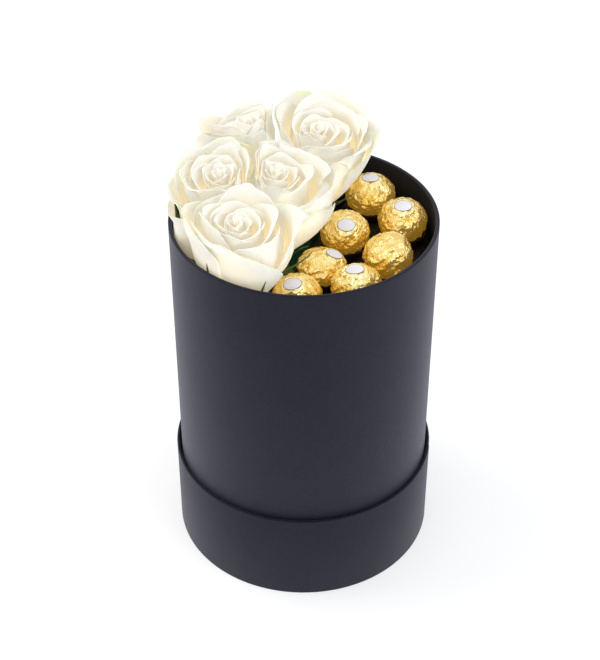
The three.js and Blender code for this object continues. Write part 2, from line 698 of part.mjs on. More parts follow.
// Foil creases: ridges that cross in several directions, pressed in from the ball. They
// fade out round the label, between two cosines of the angle from its middle.
const CREASE_DEPTH = 0.9;
const CREASES = 5;
const CREASED_FROM = 0.86;
const SMOOTH_FROM = 0.94;

function crease(direction, seed) {
  let depth = 0;
  for (let k = 0; k < CREASES; k++) {
    const random = (index) => 2 * scatter(seed * 7 + k, index) - 1;
    const across = new THREE.Vector3(random(1), random(2), random(3)).normalize();
    depth += Math.abs(Math.sin(direction.dot(across) * (4 + 2 * k) + 3 * random(4)));
  }
  return CREASE_DEPTH * depth / CREASES;
}

function foilBall(radius, tall, label, seed) {
  const ball = new THREE.IcosahedronGeometry(1, 3);
  ball.deleteAttribute("normal");
  ball.deleteAttribute("uv");
  const merged = mergeVertices(ball, 1e-4);
  const position = merged.attributes.position;
  const point = new THREE.Vector3();
  for (let k = 0; k < position.count; k++) {
    point.fromBufferAttribute(position, k);
    const underLabel = THREE.MathUtils.smoothstep(point.dot(label), CREASED_FROM, SMOOTH_FROM);
    point.multiplyScalar(radius - crease(point, seed) * (1 - underLabel));
    position.setXYZ(k, point.x, point.y, point.z * tall);
  }
  return merged;
}

// An oval of paper that follows the ball it is stuck to.
function ovalLabel(radius, tall, label) {
  const turned = new THREE.Quaternion().setFromUnitVectors(new THREE.Vector3(0, 0, 1), label);
  const ring = (out) => Array.from({ length: LABEL_SIDES }, (_, k) => {
    const angle = (2 * Math.PI * k) / LABEL_SIDES;
    const [wide, high] = LABEL_SIZE;
    return new THREE.Vector3(wide * Math.cos(angle), high * Math.sin(angle), radius).setLength(out);
  });
  const inner = radius + LABEL_GAP;
  const outer = inner + LABEL_THICKNESS;
  const geometry = closedRings([ring(inner), ring(outer)],
    new THREE.Vector3(0, 0, inner), new THREE.Vector3(0, 0, outer));
  return geometry.applyQuaternion(turned).scale(1, 1, tall);
}

CHOCOLATES.forEach(({ name, at, radius, tall, label }, k) => {
  const facing = new THREE.Vector3(...label).normalize();
  const cupBottom = SHELF_TOP + GAP;
  const middle = middleOf(radius, tall);
  const cup = addPiece(`chocolate_${name}_cup`, pleatedCup(radius).scale(1, 1, tall), FINISH.cup);
  cup.position.set(...at, cupBottom);
  const ball = addPiece(`chocolate_${name}_foil`, foilBall(radius, tall, facing, k + 1), FINISH.foil);
  ball.position.set(...at, middle);
  const oval = addPiece(`chocolate_${name}_label`, ovalLabel(radius, tall, facing), FINISH.label);
  oval.position.set(...at, middle);
});

export default part;
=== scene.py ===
"""A box of roses and chocolates: a tall round covered-card box that stands in its own lid, five cream
roses in wet foam, and seven foil-wrapped chocolates in paper cups on a card shelf beside them."""

import math

import bmesh
import bpy
import numpy as np
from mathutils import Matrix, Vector


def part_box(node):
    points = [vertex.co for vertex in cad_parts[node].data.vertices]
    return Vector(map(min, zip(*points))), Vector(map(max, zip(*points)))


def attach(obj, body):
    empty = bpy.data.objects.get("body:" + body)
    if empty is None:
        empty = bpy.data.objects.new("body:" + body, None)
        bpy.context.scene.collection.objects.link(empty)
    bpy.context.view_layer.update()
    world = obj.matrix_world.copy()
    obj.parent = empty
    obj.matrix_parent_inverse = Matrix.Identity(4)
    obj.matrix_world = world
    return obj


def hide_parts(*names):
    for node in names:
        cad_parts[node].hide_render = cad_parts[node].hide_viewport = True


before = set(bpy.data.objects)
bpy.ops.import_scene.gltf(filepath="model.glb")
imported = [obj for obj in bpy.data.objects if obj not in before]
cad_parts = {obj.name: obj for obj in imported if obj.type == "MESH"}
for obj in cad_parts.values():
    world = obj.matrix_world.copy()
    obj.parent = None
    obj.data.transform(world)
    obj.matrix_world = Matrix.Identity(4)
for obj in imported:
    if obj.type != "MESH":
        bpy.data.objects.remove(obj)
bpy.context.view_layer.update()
MM = 0.001


# The lid
# A shallow round tray of rolled card under dark paper with a linen grain. The paper is wrapped once
# round, lapped at the right, and turned in over the rim. The box stands in it.
TUBE_SIDES = 240
HAIR = 0.01 * MM
LID_WALL = 2.0 * MM
LID_SHEEN = 0.15
RIM_ROUND = 0.7 * MM
PAPER_LAP = 0.3 * MM
TURNED_IN = 9 * MM
LID_LAP_AT = math.radians(-9)
NAVY = (0.0033, 0.0033, 0.0084, 1)
NAVY_THREAD = (0.0102, 0.0100, 0.0206, 1)
# Inside the boxes the same navy paper is painted near-black and neutral: painted shade, with faint fibres
INSIDE_PAINTED_SHADE = (0.006, 0.006, 0.008, 1)
INSIDE_SHADE_FIBRE = (0.016, 0.015, 0.018, 1)


def deselect_all():
    bpy.ops.object.select_all(action="DESELECT")


def select_parts(obj, faces=None, edges=None):
    """Selects the faces or edges of the mesh in edit mode for which the test is true."""
    mesh = bmesh.from_edit_mesh(obj.data)
    for part in (*mesh.verts, *mesh.edges, *mesh.faces):
        part.select = False
    mode = "FACE" if faces else "EDGE"
    bpy.ops.mesh.select_mode(type=mode)
    for part in mesh.faces if faces else mesh.edges:
        part.select = (faces or edges)(part)
    bmesh.update_edit_mesh(obj.data)


def points_of(obj):
    places = np.empty(len(obj.data.vertices) * 3)
    obj.data.vertices.foreach_get("co", places)
    return places.reshape(-1, 3)


def put_points(obj, places):
    obj.data.vertices.foreach_set("co", np.asarray(places, dtype=np.float32).ravel())
    obj.data.update()


def socketed_group(name, inputs, outputs):
    """A shader node group with float, colour or vector sockets, and its input and output nodes."""
    kinds = {"f": "NodeSocketFloat", "c": "NodeSocketColor", "v": "NodeSocketVector"}
    group = bpy.data.node_groups.new(name, "ShaderNodeTree")
    for label, kind in inputs:
        group.interface.new_socket(label, in_out="INPUT", socket_type=kinds[kind])
    for label, kind in outputs:
        group.interface.new_socket(label, in_out="OUTPUT", socket_type=kinds[kind])
    return group, group.nodes.new("NodeGroupInput"), group.nodes.new("NodeGroupOutput")


def node(tree, kind, links=(), **settings):
    """Adds a node, sets its fields or unlinked sockets by name or number, and links its inputs."""
    made = tree.nodes.new(kind)
    for key, value in settings.items():
        if hasattr(made, key):
            setattr(made, key, value)
        else:
            numbered = key[0] == "i" and key[1:].isdigit()
            socket = int(key[1:]) if numbered else key.replace("_", " ")
            made.inputs[socket].default_value = value
    for socket, source in dict(links).items():
        tree.links.new(source, made.inputs[socket])
    return made


def finish(name, **settings):
    """A material with one Principled shader; returns the material, its tree and the shader."""
    made = bpy.data.materials.new(name)
    made.use_nodes = True
    tree = made.node_tree
    shader = tree.nodes["Principled BSDF"]
    for key, value in settings.items():
        shader.inputs[key.replace("_", " ")].default_value = value
    return made, tree, shader


def on_piece(tree):
    """The place on the piece, which its patterns read."""
    return node(tree, "ShaderNodeTexCoord").outputs["Object"]


def noise(tree, vector, **settings):
    return node(tree, "ShaderNodeTexNoise", {"Vector": vector}, **settings).outputs["Fac"]


def maths(tree, operation, first, second):
    """A Math node of two sockets, or of a socket and a number."""
    if isinstance(second, (int, float)):
        return node(tree, "ShaderNodeMath", {0: first}, operation=operation, i1=second).outputs[0]
    return node(tree, "ShaderNodeMath", {0: first, 1: second}, operation=operation).outputs[0]


def ramp(tree, value, low, high, first=0.0, last=1.0, kind="LINEAR"):
    """Takes a value from low to high onto first to last, and no further."""
    return node(tree, "ShaderNodeMapRange", {0: value}, interpolation_type=kind,
                i1=low, i2=high, i3=first, i4=last).outputs[0]


def blend(tree, share, first, second):
    """Mixes two colours, each given as a socket or as numbers."""
    sockets = {6: first, 7: second}
    linked = {key: value for key, value in sockets.items() if not isinstance(value, tuple)}
    fixed = {f"i{key}": value for key, value in sockets.items() if isinstance(value, tuple)}
    return node(tree, "ShaderNodeMix", {0: share, **linked}, data_type="RGBA", **fixed).outputs[2]


def paint(tree, shader, colour, height=None, strength=0.0, depth=0.0):
    """Links a colour to the shader, and a height, if there is one, as its bump."""
    tree.links.new(colour, shader.inputs["Base Color"])
    if height:
        bump = node(tree, "ShaderNodeBump", {"Height": height}, Strength=strength, Distance=depth)
        tree.links.new(bump.outputs[0], shader.inputs["Normal"])


def linen_grain():
    """Colour and height of linen-finish paper round an upright tube, in threads that run round and up."""
    group, given, out = socketed_group(
        "linen_grain", [("Vector", "v"), ("Paper", "c"), ("Thread", "c"), ("Round", "f")],
        [("Color", "c"), ("Height", "f")])
    place = node(group, "ShaderNodeSeparateXYZ", {0: given.outputs["Vector"]})
    angle = maths(group, "ARCTAN2", place.outputs["Y"], place.outputs["X"])
    arc = maths(group, "MULTIPLY", angle, given.outputs["Round"])
    flat = node(group, "ShaderNodeCombineXYZ", {0: arc, 1: place.outputs["Z"]})
    # Threads that run round the tube, then threads that run up it
    threads = []
    for stretch, detail in (((260, 2600, 1), 3), ((2300, 320, 1), 2)):
        mapped = node(group, "ShaderNodeMapping", {0: flat.outputs[0]}, Scale=stretch)
        threads.append(noise(group, mapped.outputs[0], Scale=1.0, Detail=detail, Roughness=0.6))
    weave = node(group, "ShaderNodeMix", {2: threads[0], 3: threads[1]}, i0=0.32)
    raised = ramp(group, weave.outputs[0], 0.36, 0.66)
    cloud = noise(group, given.outputs["Vector"], Scale=38.0, Detail=4.0)
    share = maths(group, "ADD", raised, ramp(group, cloud, 0.3, 0.7, -0.18, 0.18))
    colour = blend(group, share, given.outputs["Paper"], given.outputs["Thread"])
    group.links.new(colour, out.inputs["Color"])
    group.links.new(raised, out.inputs["Height"])
    return group


LINEN = linen_grain()


def linen_paper(name, radius, lap_at, sheen):
    made, tree, shader = finish(name, Roughness=0.5, Specular_IOR_Level=0.16, Sheen_Weight=sheen,
                                Sheen_Roughness=0.45, Sheen_Tint=(0.77, 0.77, 1.0, 1))
    turned = node(tree, "ShaderNodeMapping", {0: on_piece(tree)}, Rotation=(0, 0, math.pi - lap_at))
    grain = node(tree, "ShaderNodeGroup", node_tree=LINEN)
    tree.links.new(turned.outputs[0], grain.inputs["Vector"])
    grain.inputs["Paper"].default_value = NAVY
    grain.inputs["Thread"].default_value = NAVY_THREAD
    grain.inputs["Round"].default_value = radius
    paint(tree, shader, grain.outputs["Color"], grain.outputs["Height"], 0.35, 0.12 * MM)
    return made


def painted_shade_lining():
    made, tree, shader = finish("painted_shade_lining", Roughness=0.9, Specular_IOR_Level=0.2)
    fibres = noise(tree, on_piece(tree), Scale=900.0, Detail=4.0)
    paint(tree, shader, blend(tree, fibres, INSIDE_PAINTED_SHADE, INSIDE_SHADE_FIBRE), fibres, 0.25, 0.1 * MM)
    return made


PAINTED_SHADE_LINING = painted_shade_lining()


def paper_tube(name, cad_node, wall, lap_at, sheen):
    """A round box: a cylinder with its top inset and sunk, rims rounded, the paper's lap as a step."""
    low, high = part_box(cad_node)
    radius, height = high.x, high.z - low.z
    deselect_all()
    bpy.ops.mesh.primitive_cylinder_add(vertices=TUBE_SIDES, radius=radius, depth=height,
                                        location=(0, 0, low.z + height / 2))
    tube = bpy.context.object
    tube.name = name
    bpy.ops.object.transform_apply(location=True)
    bpy.ops.object.mode_set(mode="EDIT")
    select_parts(tube, faces=lambda face: face.normal.z > 0.9)
    bpy.ops.mesh.inset(thickness=wall)
    bpy.ops.mesh.extrude_region_move(TRANSFORM_OT_translate={"value": (0, 0, wall - height)})

    def on_a_rim(edge):
        first, last = (point.co for point in edge.verts)
        round_the_axis = abs(first.xy.length - last.xy.length) < HAIR
        level = any(max(abs(first.z - z), abs(last.z - z)) < HAIR for z in (low.z, high.z))
        return round_the_axis and level

    select_parts(tube, edges=on_a_rim)
    bpy.ops.mesh.bevel(offset=RIM_ROUND, segments=4, affect="EDGES")
    bpy.ops.object.mode_set(mode="OBJECT")
    places = points_of(tube)
    reach = np.hypot(places[:, 0], places[:, 1])
    turn = 2 * math.pi
    past_lap = (np.arctan2(places[:, 1], places[:, 0]) - lap_at) % turn
    skin = np.clip((reach - (radius - wall + RIM_ROUND)) / (wall - 2 * RIM_ROUND), 0, 1)
    # The last row of points closes up to the first, so that the lap is a sharp step
    last = past_lap > turn * (1 - 1.2 / TUBE_SIDES)
    angle = np.where(last & (skin > 0), turn - 1e-3, past_lap) + lap_at
    reach = reach + skin * PAPER_LAP * (past_lap / turn - 1)
    put_points(tube, np.stack([reach * np.cos(angle), reach * np.sin(angle), places[:, 2]], -1))
    bpy.ops.object.shade_smooth_by_angle(angle=math.radians(32))
    tube.data.materials.append(linen_paper(name + "_paper", radius, lap_at, sheen))
    tube.data.materials.append(PAINTED_SHADE_LINING)
    # Inside, below the turned-in paper, the faces take the near-black finish: painted shade of the navy
    # paper
    for face in tube.data.polygons:
        inside = face.center.xy.length < radius - wall + RIM_ROUND / 2
        lined = low.z + wall / 2 < face.center.z <= high.z - TURNED_IN
        face.material_index = int(inside and lined)
    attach(tube, "root")
    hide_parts(cad_node)


paper_tube("lid_tray", "box_lid", LID_WALL, LID_LAP_AT, LID_SHEEN)


# The box
# A tall tube of the same card and paper, with a card bottom. Inside, below the paper turned in over
# the rim, it is painted near-black as the paper's shade. Its paper is lapped at the back. It stands
# loose in the lid.
BOX_LAP_AT = math.radians(121)
BOX_WALL = 2.4 * MM
BOX_SHEEN = 0.21
paper_tube("box_tube", "box_body", BOX_WALL, BOX_LAP_AT, BOX_SHEEN)


# The card insert
# A partition, a shelf and a leg of black-brown card, cut to the inside of the box. The shelf carries
# the chocolates near the rim.
CARD_BROWN = (0.030, 0.019, 0.013, 1)
CARD_FLECK = (0.075, 0.052, 0.038, 1)


def fleck_card():
    made, tree, shader = finish("fleck_card", Roughness=0.9, Specular_IOR_Level=0.25)
    drawn = node(tree, "ShaderNodeMapping", {0: on_piece(tree)}, Scale=(1, 1, 0.35))
    fibre = noise(tree, drawn.outputs[0], Scale=1400.0, Detail=6.0, Roughness=0.7)
    colour = blend(tree, ramp(tree, fibre, 0.52, 0.72), CARD_BROWN, CARD_FLECK)
    paint(tree, shader, colour, fibre, 0.3, 0.08 * MM)
    return made


def dress(node_name, material):
    """Gives a piece that keeps its plain mesh its finish."""
    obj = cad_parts[node_name]
    obj.data.materials.clear()
    obj.data.materials.append(material)


FLECK_CARD = fleck_card()
for insert in ("card_partition", "card_shelf", "card_leg"):
    dress(insert, FLECK_CARD)


# The wet foam and its liner
# A block of dark green floral foam, cut to the rose side of the box, in a thin cloudy plastic liner.
# The stems stand in holes pushed into it.
FOAM_WET = (0.012, 0.075, 0.026, 1)
FOAM_DRY = (0.035, 0.15, 0.055, 1)
FILM_GREY = (0.5, 0.53, 0.54, 1)
FILM_PALE = (0.68, 0.70, 0.70, 1)


def wet_foam():
    made, tree, shader = finish("wet_foam", Roughness=0.95, Specular_IOR_Level=0.3)
    place = on_piece(tree)
    pores = node(tree, "ShaderNodeTexVoronoi", {"Vector": place}, Scale=1300.0).outputs["Distance"]
    damp = noise(tree, place, Scale=45.0, Detail=3.0)
    paint(tree, shader, blend(tree, damp, FOAM_WET, FOAM_DRY), pores, 0.7, 0.4 * MM)
    return made


def cloudy_film():
    made, tree, shader = finish("cloudy_film", Roughness=0.3, Alpha=0.55)
    crease = noise(tree, on_piece(tree), Scale=60.0, Detail=4.0)
    paint(tree, shader, blend(tree, crease, FILM_GREY, FILM_PALE), crease, 0.5, 0.6 * MM)
    return made


dress("floral_foam", wet_foam())
dress("foam_liner", cloudy_film())


# The roses
# Five cut roses. Each bloom is a tight spiral of inner petals inside broad outer petals whose lips turn
# out. Every petal lies on a shell of its own, and the blooms press each other out of round.

# In millimetres and degrees. For a rose: heart is the top of its bud, lean and towards the tilt of its
# axis, height the bloom's, cup and girth the radius of its inner petals and of the whole bloom, turn
# where its spiral starts, in radians, sepals the direction of its first sepal, and sepal_reach how far
# up they lie.
# For an outer petal, from the inside out: at and half are its direction and half width, girth and top
# its radius at the belly and the rim, fold the share of its height where the lip turns out, and curl
# how far it turns. slope slants the top edge, tip is its point, and shoulder rounds off its sides.
ROSES = [
    dict(name="front", heart=(-34, -48, 251.5), lean=6, towards=235, height=48, cup=20, girth=33,
         turn=0.4, seed=3, sepals=212, outer=[
             dict(at=75, half=62, girth=22.5, top=21, height=53, fold=0.93, curl=60, tip=3),
             dict(at=190, half=66, girth=22, top=21, height=49, fold=0.93, curl=50, tip=0),
             dict(at=-62, half=66, girth=23, top=22, height=46, fold=0.92, curl=90, slope=0.1, tip=0),
             dict(at=2, half=46, girth=24, top=30, height=50, fold=0.9, curl=90, tip=4, shoulder=0.32),
             dict(at=115, half=60, girth=29, top=30, height=48, fold=0.9, curl=90),
             dict(at=-118, half=64, girth=27, top=29, height=46, fold=0.84, curl=130, slope=-0.22, tip=1),
             dict(at=162, half=68, girth=38, top=40, height=47, fold=0.92, curl=80),
             dict(at=-88, half=56, girth=31, top=30, height=39, fold=0.95, curl=40, slope=-0.2, tip=0),
             dict(at=40, half=60, girth=25, top=28, height=44, fold=0.88, curl=110),
         ]),
    dict(name="left", heart=(-46, -2, 251.5), lean=12, towards=235, height=47, cup=17, girth=33,
         turn=2.1, seed=11, sepals=172, outer=[
             dict(at=60, half=66, girth=19, top=17, height=49, fold=0.93, curl=60),
             dict(at=-60, half=66, girth=19, top=18, height=46, fold=0.93, curl=60),
             dict(at=180, half=66, girth=20, top=20, height=48, fold=0.93, curl=60),
             dict(at=20, half=60, girth=26, top=27, height=47, fold=0.9, curl=90),
             dict(at=150, half=58, girth=24, top=25, height=46, fold=0.9, curl=90),
             dict(at=-110, half=62, girth=26, top=26, height=43, fold=0.9, curl=120),
             dict(at=80, half=60, girth=28, top=30, height=46, fold=0.88, curl=120),
             dict(at=200, half=55, girth=29, top=29, height=42, fold=0.9, curl=90),
             dict(at=228, half=52, girth=41, top=42, height=41, fold=0.9, curl=80),
         ]),
    dict(name="middle", heart=(-15, 0, 252.5), lean=4, towards=290, height=48, cup=18, girth=33,
         turn=4.0, seed=21, sepals=20, sepal_reach=0.44, outer=[
             dict(at=110, half=62, girth=20, top=19, height=50, fold=0.93, curl=60),
             dict(at=-100, half=66, girth=20, top=19, height=46, fold=0.92, curl=80),
             dict(at=35, half=46, girth=23, top=24, height=52, fold=0.9, curl=80, shoulder=0.04),
             dict(at=170, half=62, girth=25, top=28, height=49, fold=0.9, curl=90),
             dict(at=-60, half=62, girth=24, top=26, height=46, fold=0.82, curl=120, slope=0.14, tip=2),
             dict(at=100, half=60, girth=28, top=30, height=51, fold=0.9, curl=90),
             dict(at=-20, half=52, girth=30, top=33, height=50, fold=0.92, curl=80),
             dict(at=-75, half=60, girth=33, top=34, height=41, fold=0.85, curl=130, slope=0.08),
             dict(at=200, half=60, girth=33, top=33, height=42, fold=0.88, curl=120),
         ]),
    dict(name="back_right", heart=(8.5, 33, 258.5), lean=9, towards=280, height=48, cup=20, girth=33,
         turn=5.3, seed=42, sepals=322, sepal_reach=0.5, outer=[
             dict(at=95, half=66, girth=22, top=21, height=50, fold=0.93, curl=60),
             dict(at=-80, half=66, girth=21, top=20, height=47, fold=0.93, curl=60),
             dict(at=10, half=62, girth=23, top=23, height=49, fold=0.92, curl=80),
             dict(at=170, half=60, girth=29, top=31, height=48, fold=0.9, curl=90),
             dict(at=-30, half=62, girth=25, top=27, height=47, fold=0.9, curl=100),
             dict(at=60, half=60, girth=27, top=31, height=49, fold=0.9, curl=80, tip=2),
             dict(at=-100, half=60, girth=27, top=27, height=42, fold=0.9, curl=90),
             dict(at=0, half=60, girth=28, top=29, height=45, fold=0.9, curl=90),
             dict(at=130, half=60, girth=33, top=34, height=46, fold=0.88, curl=120),
         ]),
    dict(name="back_left", heart=(-35, 44, 257.5), lean=8, towards=120, height=48, cup=17, girth=28,
         turn=1.2, seed=35, sepals=100, outer=[
             dict(at=90, half=66, girth=19, top=18, height=49, fold=0.93, curl=60),
             dict(at=-40, half=66, girth=19, top=18, height=46, fold=0.93, curl=60),
             dict(at=-130, half=66, girth=20, top=20, height=45, fold=0.9, curl=100),
             dict(at=170, half=60, girth=25, top=27, height=49, fold=0.9, curl=80),
             dict(at=40, half=62, girth=24, top=25, height=48, fold=0.9, curl=90),
             dict(at=-70, half=62, girth=25, top=25, height=44, fold=0.86, curl=100),
             dict(at=110, half=62, girth=27, top=29, height=44, fold=0.88, curl=120),
             dict(at=230, half=58, girth=28, top=29, height=42, fold=0.9, curl=90),
         ]),
]
INNER_PETALS = 15
FIRST_OUTER = 100
GOLDEN_ANGLE = math.radians(137.508)
PETAL_THICKNESS = 0.45

# What changes from the first petal to the last, as the first one's value and what the last one has
# more, and what all have alike. lip is the radius that the lip folds round, spiral how far one side
# stands out past the other, rise how high the root sits on the bud, and cells the faces across and up.
INNER_CHANGES = dict(half=(108, -42), fold=(0.965, -0.055), curl=(40, 60), lip=(1.0, 1.8),
                     spiral=(-0.4, -0.8), rise=(16, -7.5), age=(0, 0.45))
INNER_ALIKE = dict(shoulder=0.12, slope=0, tip=1.2, cells=(16, 10))
OUTER_CHANGES = dict(lip=(3.1, 1.0), rise=(8, -7.5), age=(0.5, 0.5))
OUTER_ALIKE = dict(shoulder=0.24, slope=0, tip=1, spiral=-1.5, cells=(20, 16))

# How blooms give way, in millimetres. Up to FREE_SHARE of the room, nothing moves. What would lie
# CURL_REACH past the bloom's girth comes to lie MARGIN short of what it is pressed against.
FREE_SHARE = 0.4
EASED_SHARE = 0.5
CURL_REACH = 5
MARGIN = 0.45

# Two blooms meet along a waved seam that slants with height, and is midway at SEAM_LEVEL
SEAM_SLANT = 0.24
SEAM_LEVEL = 238
SEAM_WAVE = 0.9

# The partition. Blooms hang over it from OVERHANG_FROM up, and have NARROWEST at least on that side
PARTITION_TURN = math.radians(-23)
PARTITION_FACE = 4.2
OVERHANG = 0.62
OVERHANG_FROM = 199
NARROWEST = 9

# The inside of the box. It presses what lies within WALL_DEPTH, and blooms spread out over its rim
INSIDE_RADIUS = 72
WALL_DEPTH = 14
STEM_ROOM = 5.2
RIM_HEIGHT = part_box("box_body")[1].z / MM
RIM_SPREAD = 5
SPREAD_FROM = RIM_HEIGHT + 4
SPREAD_OVER = 16

# The chocolates, each as x, y, radius and its height for its width
SHELF_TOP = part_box("card_shelf")[1].z / MM
CHOCOLATE_SEAT = SHELF_TOP + 1.2
CHOCOLATES = {
    "a": (38.4, 40.1, 15, 0.8), "b": (55.5, 12, 14.4, 0.9), "c": (22.9, 0.8, 14.2, 0.88),
    "d": (45.9, -22.5, 14.1, 0.92), "e": (9.9, -27.2, 14, 0.66), "f": (28.1, -49.6, 14.4, 0.85),
    "g": (-3.2, -54.7, 13.6, 0.8),
}
PRESS_MARGIN = 1.0
PRESS_POWER = 6


def scatter(seed, index):
    """A repeatable random number from 0 to 1."""
    x = math.sin(seed * 12.9898 + index * 78.233) * 43758.5453
    return x - math.floor(x)


def stand_rose(rose):
    """Works out a rose's axis, the foot of its bloom, how it is turned and how far its petals reach."""
    lean, towards = math.radians(rose["lean"]), math.radians(rose["towards"])
    axis = Vector((math.sin(lean) * math.cos(towards), math.sin(lean) * math.sin(towards), math.cos(lean)))
    rose["axis"] = np.array(axis)
    rose["base"] = np.array(rose["heart"]) - rose["height"] * rose["axis"]
    rose["turned"] = np.array(Vector((0, 0, 1)).rotation_difference(axis).to_matrix())
    rose["reach"] = rose["girth"] + CURL_REACH


for rose in ROSES:
    stand_rose(rose)


def axis_at(rose, z):
    """The points of a rose's axis at the given heights."""
    return rose["base"] + ((z - rose["base"][2]) / rose["axis"][2])[:, None] * rose["axis"]


def chocolate_middle(x, y, radius, tall):
    return np.array((x, y, CHOCOLATE_SEAT + radius * tall))


def draw_in(distance, limit, free, reach):
    """Up to free nothing moves, and what would lie at reach comes to lie at the limit."""
    past = np.maximum(distance - free, 0)
    straight = (limit - free) / (reach - free)
    eased = 1 / (1 + past * (1 / (limit - free) - 1 / (reach - free)))
    drawn = free + past * (EASED_SHARE * eased + (1 - EASED_SHARE) * straight)
    return np.where((distance <= free) | (reach <= limit), distance, np.minimum(drawn, limit))


def settle(points, rose):
    """Moves a rose's points into place and presses them clear of what stands round the bloom."""
    p = points @ rose["turned"].T + rose["base"]
    centre = axis_at(rose, p[:, 2])

    def pull(p, direction, limit):
        distance = ((p - centre) * direction).sum(1)
        drawn = draw_in(distance, limit, FREE_SHARE * limit, rose["reach"])
        return p + direction * (drawn - distance)[:, None]

    # The other blooms: of two, the one listed first leans over the seam
    for other in ROSES:
        if other is rose:
            continue
        between = axis_at(other, p[:, 2]) - centre
        between[:, 2] = 0
        apart = np.linalg.norm(between, axis=1)
        over = 1 if ROSES.index(rose) < ROSES.index(other) else -1
        along = over * (p[:, 1] * between[:, 0] - p[:, 0] * between[:, 1]) / apart
        seam = SEAM_SLANT * (p[:, 2] - SEAM_LEVEL) + SEAM_WAVE * np.sin(0.3 * along + 0.2 * p[:, 2])
        limit = apart * rose["girth"] / (rose["girth"] + other["girth"]) - MARGIN + over * seam
        p = pull(p, between / apart[:, None], limit)

    # The partition
    across = np.array((math.cos(PARTITION_TURN), math.sin(PARTITION_TURN), 0))
    edge = PARTITION_FACE + OVERHANG * (p[:, 2] - OVERHANG_FROM)
    p = pull(p, across[None, :], np.maximum(NARROWEST, edge - centre @ across - MARGIN))

    # The inside of the box
    out = np.hypot(p[:, 0], p[:, 1])
    above = np.clip((p[:, 2] - SPREAD_FROM) / SPREAD_OVER, 0, 1)
    spread = RIM_SPREAD * above * above * (3 - 2 * above)
    middle = np.hypot(centre[:, 0], centre[:, 1])
    limit = INSIDE_RADIUS - MARGIN + spread
    free = np.maximum(middle + STEM_ROOM, limit - WALL_DEPTH)
    scale = draw_in(out, limit, free, middle + rose["reach"]) / out
    p = p * np.stack([scale, scale, np.ones_like(scale)], 1)

    # The chocolates, each a ball pressed flat, which what is inside or near moves away from
    for x, y, radius, tall in CHOCOLATES.values():
        ball = chocolate_middle(x, y, radius, tall)
        away = (p - ball) / (1, 1, tall)
        distance = np.maximum(np.linalg.norm(away, axis=1), 1e-6)
        clear = radius + PRESS_MARGIN
        far = (distance ** PRESS_POWER + clear ** PRESS_POWER) ** (1 / PRESS_POWER)
        pushed = ball + away * (1, 1, tall) * (far / distance)[:, None]
        p = np.where((distance < 2 * clear)[:, None], pushed, p)
    return p


def cubic(corners, v):
    """Points of a cubic curve between four corners, v from 0 to 1."""
    s = 1 - v
    return np.stack([s ** 3, 3 * s * s * v, 3 * s * v * v, v ** 3], 1) @ corners


def shell_point(petal, v):
    """The outline of a petal's shell, from root to top, in radius and height."""
    girth, height = petal["girth"], petal["height"]
    corners = [(petal["root"], petal["rise"]), (1.3 * girth, petal["rise"] + 0.03 * height),
               (1.04 * girth, 0.62 * height), (petal["top"], height)]
    return cubic(np.array(corners), v)


def petal_points(petal, u, v):
    """Points of a petal: u from -1 to 1 across it, v from 0 at the root to 1 at the lip."""
    # The top edge, and where the lip starts to fold
    top = 1 - petal["shoulder"] * np.abs(u) ** 2.4 + petal["slope"] * u
    top = top + petal["tip"] / petal["height"] * np.exp(-((u / 0.16) ** 2))
    fold = petal["fold"] + 0.7 * petal["slope"] * u - 0.1 * u * u
    height = v * top

    # Up the shell as far as the fold, with the shell's direction and length there
    step = 0.001
    foot = shell_point(petal, np.minimum(height, fold))
    along = foot - shell_point(petal, np.minimum(height, fold) - step)
    speed = np.linalg.norm(along, axis=1) / step
    along = along / (speed * step)[:, None]

    # Then out round the lip, which folds less at its sides, and straight on from the end of the fold
    past = np.maximum(height - fold, 0) * speed
    limit = math.radians(petal["curl"]) * (1 - 0.5 * np.abs(u) ** 3)
    bend = np.minimum(past / petal["lip"], limit)
    beyond = np.maximum(past - petal["lip"] * limit, 0)
    forward = petal["lip"] * np.sin(bend) + np.cos(bend) * beyond
    outward = petal["lip"] * (1 - np.cos(bend)) + np.sin(bend) * beyond

    # The spiral, and waves that grow towards the lip
    bulge, ruffle, lift = petal["wave"]
    phase = petal["phase"]
    radius = foot[:, 0] + along[:, 0] * forward + along[:, 1] * outward
    radius = radius + petal["spiral"] * u * np.minimum(1, 2 * v)
    radius = radius + bulge * v ** 2 * np.sin(2.3 * u + phase[0])
    radius = radius + ruffle * v ** 3 * np.sin(5.5 * u + phase[1])
    radius = np.maximum(radius + 0.5 * ruffle * v ** 4 * np.sin(13 * u + phase[3]), 0.2)
    z = foot[:, 1] + along[:, 1] * forward - along[:, 0] * outward
    z = z + lift * v ** 3 * np.sin(3.1 * u + phase[2])
    z = z + ruffle * v ** 6 * (np.sin(8 * u + phase[1]) + 0.6 * np.sin(19 * u + phase[0]))

    # Narrower towards the root
    widen = 0.7 + 0.3 * np.sin(np.pi / 2 * np.minimum(1, v / 0.5))
    azimuth = np.radians(petal["at"] + petal["half"] * widen * u)
    return np.stack([radius * np.cos(azimuth), radius * np.sin(azimuth), z], 1)


def changed(changes, t):
    return {name: first + more * t for name, (first, more) in changes.items()}


